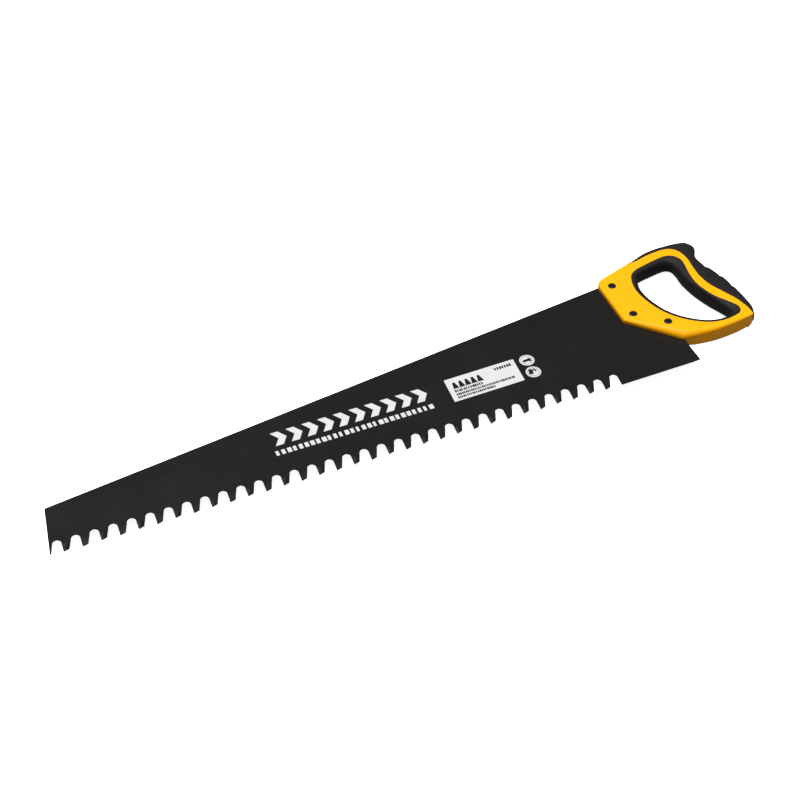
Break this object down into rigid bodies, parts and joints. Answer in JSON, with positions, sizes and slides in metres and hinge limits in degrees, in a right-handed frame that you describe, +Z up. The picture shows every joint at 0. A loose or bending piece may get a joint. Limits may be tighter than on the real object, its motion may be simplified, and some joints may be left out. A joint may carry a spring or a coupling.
{
  "type": "hand saw",
  "caption": "Large-toothed masonry and plaster hand saw: a long tapered steel blade screwed into a closed-loop moulded handle with soft rubber grips.",
  "frame": {"origin": "under the middle of the whole saw's bounding box, on the surface that the handle's side lies on", "axes": "+X along the tooth line from the toe to the handle, +Y from the teeth to the blade's back, +Z up through the blade's thickness"},
  "size_m": [0.7926, 0.1768, 0.0188],
  "materials": {
    "blade_coating": "satin black low-friction coating on steel plate",
    "handle_yellow": "satin moulded warm yellow plastic",
    "grip_rubber": "matt black overmoulded rubber",
    "black_steel": "blackened steel fasteners",
    "label_white": "satin white printed film"
  },
  "bodies": {
    "root": {"blade": "blade_coating", "handle_core": "handle_yellow", "back_grip": "grip_rubber", "opening_liner": "grip_rubber", "handle_screw_1": "black_steel", "handle_screw_2": "black_steel", "handle_screw_3": "black_steel", "sleeve_nut_1": "black_steel", "sleeve_nut_2": "black_steel", "sleeve_nut_3": "black_steel", "label_panel": "label_white", "pictogram_disc_upper": "label_white", "pictogram_disc_lower": "label_white"}
  },
  "joints": []
}
